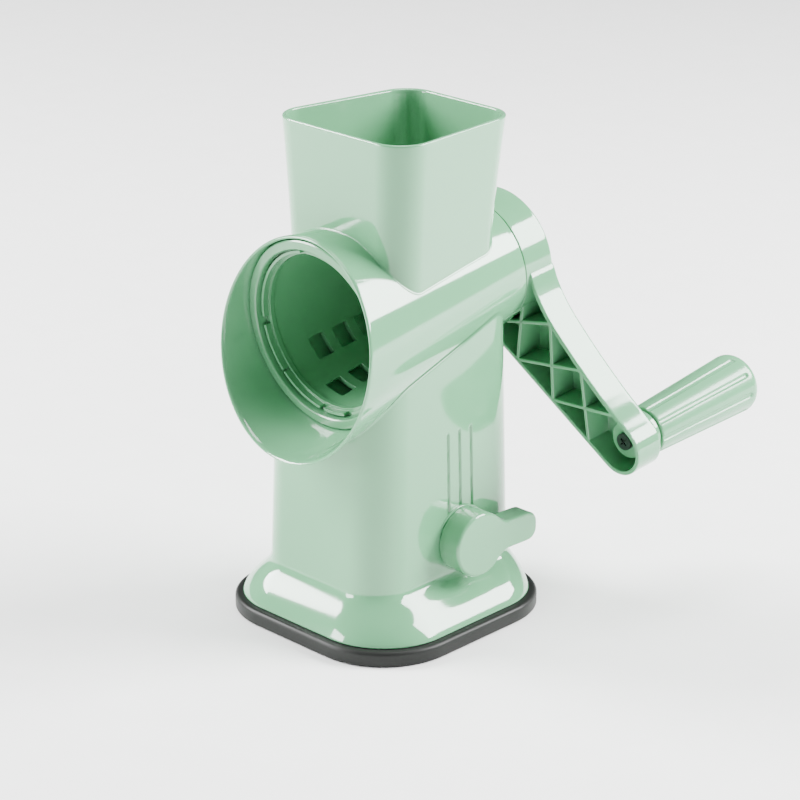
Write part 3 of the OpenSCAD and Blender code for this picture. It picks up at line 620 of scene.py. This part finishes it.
def rounded_bar(a, b, half, low, high, r=0.35):
    """Straight rib between two plan points, with its front edges rounded."""
    a, b = np.array(a, float), np.array(b, float)
    d = (b - a) / np.linalg.norm(b - a)
    n = np.array([-d[1], d[0]])
    section = arc(r - half, low + r, r, 180, 270, 4) + arc(half - r, low + r, r, 270, 360, 4)
    section += [(half + 0.15, high), (-half - 0.15, high)]
    rows = [[(*(c + n * w), h) for w, h in section] for c in (a, b)]
    return capped_skin(np.array(rows))


def arm_ribs():
    """Three crosses between the arm's two long walls."""
    first = THROW * 0.18
    pitch = (THROW * 0.885 - first) / 3

    def straight(x):
        return x, HEEL - x * (HEEL - END) / THROW - 0.9

    def waisted(x):
        return x, 1.2 - END - float(np.interp(x / THROW, *np.array(EDGE).T))

    ribs = []
    for k in range(3):
        near, far = first + k * pitch, first + (k + 1) * pitch
        for a, b in ((straight(near), waisted(far)), (waisted(near), straight(far))):
            run = np.array(a) + (np.array(b) - np.array(a)) * np.linspace(0, 1, 60)[:, None]
            outside = run[np.hypot(run[:, 0], run[:, 1]) > HUB - 1.2]
            ribs.append(rounded_bar(outside[0], outside[-1], 0.8, ARM_FRONT + 0.25, FLOOR + 0.5))
    return ribs


def build_arm():
    p, n = arm_outline()

    def at(inset, z):
        q = p - n * inset
        return np.concatenate([q, np.full((len(q), 1), z)], 1)[None]

    r = 1.6
    rows = [at(2.0, FLOOR)] + [at(2.0, z) for z in np.linspace(FLOOR - 0.4, ARM_FRONT + 0.3, 8)]
    rows += [at(1.7, ARM_FRONT), at(0.35, ARM_FRONT), at(0.1, ARM_FRONT + 0.1), at(0, ARM_FRONT + 0.35)]
    rows += [at(0, z) for z in np.linspace(ARM_FRONT + 1, ARM_DEPTH - r, 10)]
    rows += [at(r - d, ARM_DEPTH - r + h) for d, h in arc(0, 0, r, 9, 90, 9)]
    shell = capped_skin(np.concatenate(rows))
    hub = [(27.0, 16.0), (27.9, 15.0), (27.9, 1.1), (28.2, 0.85)]
    hub += [(HUB - 0.3 + x, 1.15 + y) for x, y in arc(0, 0, 0.3, -90, 0, 6)]
    hub += [(HUB, z) for z in np.linspace(2, 16, 8)]
    hub += [(HUB - 1.4 + x, 16.6 + y) for x, y in arc(0, 0, 1.4, 8, 90, 8)]
    # The holes for the screw and the spindle, seen in section.
    hub += [(4.7, 18.0), (4.7, 15.6), (2.3, 15.6), (2.3, 11.4)]
    hub += [(6.02, 11.4), (6.02, 3.4), (10.5, 3.4), (10.5, 16.0)]
    boss = [(1.9, 12.0), (1.9, 9.3), (2.2, 9.0)] + arc(8.1, 9.5, 0.5, -90, 0, 5)
    boss += [(8.9, 16.4), (4.05, 16.4), (4.05, 12.0)]
    collar = [(4.05, 18.0), (10.3, 18.0)] + arc(9.8, 20.1, 0.5, 0, 90, 5) + [(4.05, 20.6)]
    at_end = upright([THROW - LIFT, -LIFT, 0])
    parts = [shell, lathe(hub, 192), *arm_ribs()]
    parts += [moved(lathe(profile, 96), at_end) for profile in (boss, collar)]
    return mesh_object("crank_skin", [moved(q, ARM) for q in parts], 40)


def build_grip():
    start, length, small, large, dome = 21.0, 65.0, 11.4, 13.96, 5.0
    end = start + length
    z = [start] + [start + 0.8 - 0.8 * math.cos(t) for t in np.linspace(0.3, math.pi / 2, 5)]
    r = [small - 0.8] + [small - 0.8 + 0.8 * math.sin(t) for t in np.linspace(0.3, math.pi / 2, 5)]
    for t in np.linspace(0.02, 1, 110):
        z.append(start + 0.8 + (end - dome - start - 0.8) * t)
        r.append(small + (large - small) * t)
    for t in np.linspace(4, 74, 16):
        z.append(end - dome + dome * math.sin(math.radians(t)))
        r.append(large - dome + dome * math.cos(math.radians(t)))
    for f in np.linspace(0.93, 0.04, 12):
        out = f * (large - dome + 1.3)
        z.append(end + 0.15 * (1 - (out / (large - 3)) ** 2) - 0.02)
        r.append(out)
    z.append(end + 0.14)
    r.append(0.03)
    z, r = np.array(z)[:, None], np.array(r)[:, None]
    steps = 360
    a = np.arange(steps) * TURN / steps
    pitch = TURN / 9
    off = (a + pitch / 2) % pitch - pitch / 2
    sideways = np.abs(off) * r
    along = np.clip(z - (end - 7.5), 0, None)
    far = np.hypot(sideways, along)
    depth = 0.7 * np.clip(1 - (far / 1.3) ** 2, 0, 1) ** 0.6
    grooved = r - depth * (z > start + 0.2)
    outside = np.stack([grooved * np.cos(a), grooved * np.sin(a), z + 0 * a], -1)
    bore = [(0.03, start + 46), (5.3, start + 46), (5.3, start + 40.1), (4.06, start + 40), (4.06, start)]
    skin = ring_skin(np.concatenate([turned(bore, steps), outside]))
    return mesh_object("grip_skin", [moved(skin, GRIP_FRAME)], 40)


# ---- lever ----


def build_lever():
    low, high = box_mm("lever_knob")
    hub, reach_y, half = LEVER[2] - low[2], high[1] - LEVER[1], 6.8
    steps = 240
    a = np.arange(steps) * TURN / steps

    def distance(x, y):
        """How far a point is outside the round hub and the bar, joined by a soft blend."""
        corner = 5.5
        circle = np.hypot(x, y) - hub
        qx = np.abs(x - reach_y / 2) - reach_y / 2 + corner
        qy = np.abs(y) - half + corner
        bar = np.hypot(np.maximum(qx, 0), np.maximum(qy, 0)) + np.minimum(np.maximum(qx, qy), 0) - corner
        blend = 5.0
        h = np.clip(0.5 + 0.5 * (bar - circle) / blend, 0, 1)
        return bar + (circle - bar) * h - blend * h * (1 - h)

    near, far = np.zeros(steps), np.full(steps, 60.0)
    for _ in range(40):
        mid = (near + far) / 2
        inside = distance(mid * np.cos(a), mid * np.sin(a)) < 0
        near, far = np.where(inside, mid, near), np.where(inside, far, mid)
    p, n = smooth_outline(np.stack([near * np.cos(a), near * np.sin(a)], -1), steps, 2)
    face, r = high[0], 1.5
    paddle = face - 10.4

    def at(inset, x):
        q = p - n * inset
        return np.concatenate([q, np.full((len(q), 1), x)], 1)[None]

    rows = [at(0.7, paddle), at(0.2, paddle + 0.2), at(0.0, paddle + 0.7)]
    rows += [at(0.0, x) for x in np.linspace(paddle + 1.2, face - r, 7)]
    rows += [at(r - d, face - r + h) for d, h in arc(0, 0, r, 9, 90, 9)]
    boss = [(7.04, low[0])] + arc(hub - 0.5, low[0] + 0.5, 0.5, -90, 0, 5)
    boss += [(hub - 0.05, paddle + 2), (7.04, paddle + 2)]
    parts = [capped_skin(np.concatenate(rows)), lathe(boss, 160)]
    return mesh_object("lever_skin", [moved(q, LEVER_FRAME) for q in parts], 40)


def build_spring():
    """Coil between the stem's flange and the base plate."""
    low, high = box_mm("return_spring")
    wire, turns = 0.7, 4
    mean = high[0] - wire
    steps, ring = 320, 14
    t = np.linspace(0, 1, steps)[:, None]
    b = np.arange(ring) * TURN / ring
    r = mean + wire * np.cos(b)
    turn = t * turns * TURN
    x, y = r * np.cos(turn), r * np.sin(turn)
    z = low[2] + wire + (high[2] - low[2] - 2 * wire) * t + wire * np.sin(b)
    return mesh_object("spring_skin", [capped_skin(np.stack([x, y, z], -1))], 60)


# ---- put together ----

finished(build_hopper(), mint, "housing", "mint_plastic", "feed_hopper")
finished(build_barrel(), mint, "housing", "mint_plastic", "drum_barrel")
column, bosses = build_pedestal()
finished(column, mint, "housing", "mint_plastic", "pedestal")
finished(bosses, mint, "housing", "mint_plastic")
finished(build_foot(), rubber, "housing", "black_rubber", "foot_pad")
finished(build_arm(), mint_edge, "crank", "mint_plastic", "crank_arm")
finished(build_grip(), mint_grip, "grip", "mint_plastic", "grip_sleeve")
finished(build_lever(), mint_edge, "lever", "mint_plastic", "lever_knob")

spring = finished(build_spring(), bright, "housing", "bright_steel", "return_spring")
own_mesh(spring)

# The CAD nodes that still show; those without a name here are bright steel.
NODE_MATERIAL = {
    "drum_shell": mint_drum, "drum_front_ring": mint_drum, "drum_back_plate": mint_drum,
    "pull_stem": natural, "spindle_bush": natural, "lever_shaft": natural,
    # The axle screw's near-black steel is painted shade in the boss's hole.
    "base_plate": mint_edge, "suction_cup": rubber, "axle_screw": painted_shade_steel,
}
for name, obj in frame["nodes"].items():
    if obj.hide_render:
        continue
    obj.data.materials.clear()
    obj.data.materials.append(NODE_MATERIAL.get(name, bright))

# ---- floor, light, camera ----


FAR = 6000
corners = np.array([[-FAR, -FAR, 0], [FAR, -FAR, 0], [FAR, FAR, 0], [-FAR, FAR, 0]])
floor = mesh_object("floor", [(corners, [[0, 1, 2, 3]])])
floor.location.z = OLD_BOX[0].z - 0.0002
floor.data.materials.append(plastic("pale_floor", (0.93, 0.935, 0.93), 0.85, bump=0.01, grain=300.0))

world = bpy.data.worlds.new("studio")
bpy.context.scene.world = world
world.use_nodes = True
world.node_tree.nodes["Background"].inputs["Color"].default_value = (0.95, 0.98, 1.0, 1)
world.node_tree.nodes["Background"].inputs["Strength"].default_value = 0.24


def softbox(name, place, target, size, power):
    light = bpy.data.lights.new(name, "AREA")
    light.shape = "RECTANGLE"
    light.size, light.size_y = size
    light.energy = power
    obj = bpy.data.objects.new(name, light)
    bpy.context.scene.collection.objects.link(obj)
    obj.location = place
    obj.rotation_mode = "QUATERNION"
    obj.rotation_quaternion = (Vector(target) - Vector(place)).to_track_quat("-Z", "Y")
    return obj


MIDDLE = (OLD_BOX[0] + OLD_BOX[1]) / 2
softbox("top_back", (0.86, 0.98, 0.92), MIDDLE, (0.9, 0.8), 95)
softbox("front_left", (-1.38, -0.8, 1.1), MIDDLE, (0.75, 0.95), 105)
softbox("front_low", (-0.8, -1.45, 0.32), MIDDLE, (0.6, 0.5), 26)
softbox("overhead", (-0.1, 0.3, 1.9), MIDDLE, (0.9, 0.9), 26)

camera = bpy.data.cameras.new("camera")
camera.sensor_width = 36
camera.lens = 135.97
camera.dof.use_dof = False
view = bpy.data.objects.new("camera", camera)
bpy.context.scene.collection.objects.link(view)
view.location = (0.910936, -0.870142, 0.567269)
view.rotation_mode = "QUATERNION"
view.rotation_quaternion = (Vector((0, 0.00747, 0.09645)) - view.location).to_track_quat("-Z", "Y")
bpy.context.scene.camera = view
